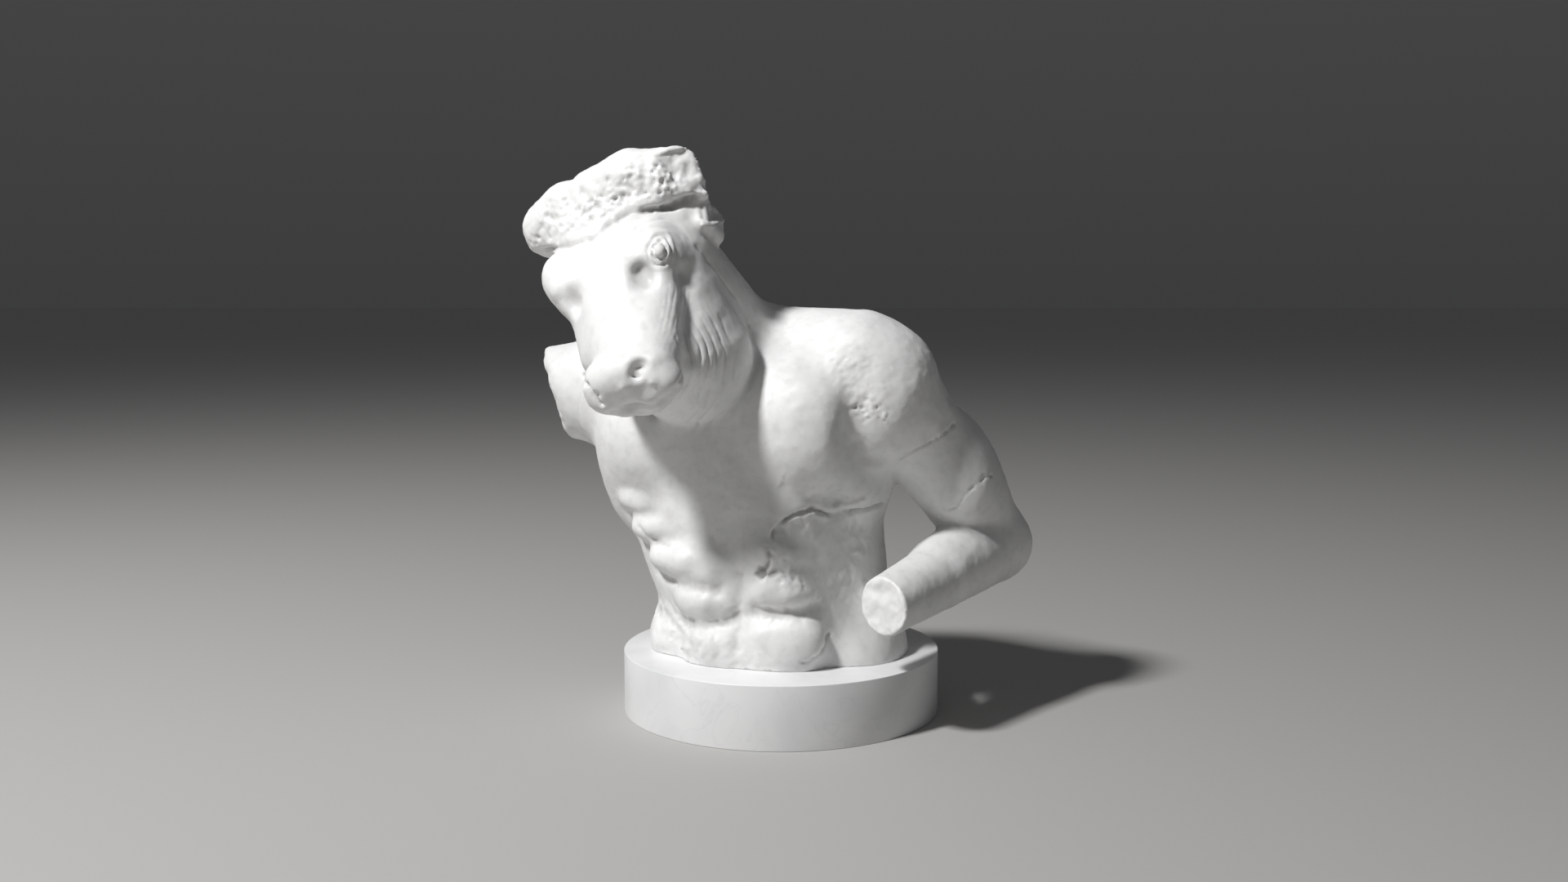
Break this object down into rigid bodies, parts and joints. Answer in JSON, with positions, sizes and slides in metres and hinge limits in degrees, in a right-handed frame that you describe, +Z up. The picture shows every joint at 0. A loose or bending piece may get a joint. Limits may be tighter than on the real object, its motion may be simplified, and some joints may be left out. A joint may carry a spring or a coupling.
{
  "type": "minotaur statue",
  "caption": "Broken marble half-figure of a minotaur, a man with a bull's head, leaning to one side, one arm bent, on a plain round plinth.",
  "frame": {"origin": "centre of the plinth's underside", "axes": "+Z up, the picture's front looks along -Y, +X to the right of someone facing that front"},
  "size_m": [0.7553, 0.5277, 0.818],
  "materials": {
    "figure_marble": "matt white marble, weathered",
    "plinth_marble": "matt white marble, fine rubbed"
  },
  "bodies": {
    "root": {"minotaur_figure": "figure_marble", "round_plinth": "plinth_marble"}
  },
  "joints": []
}
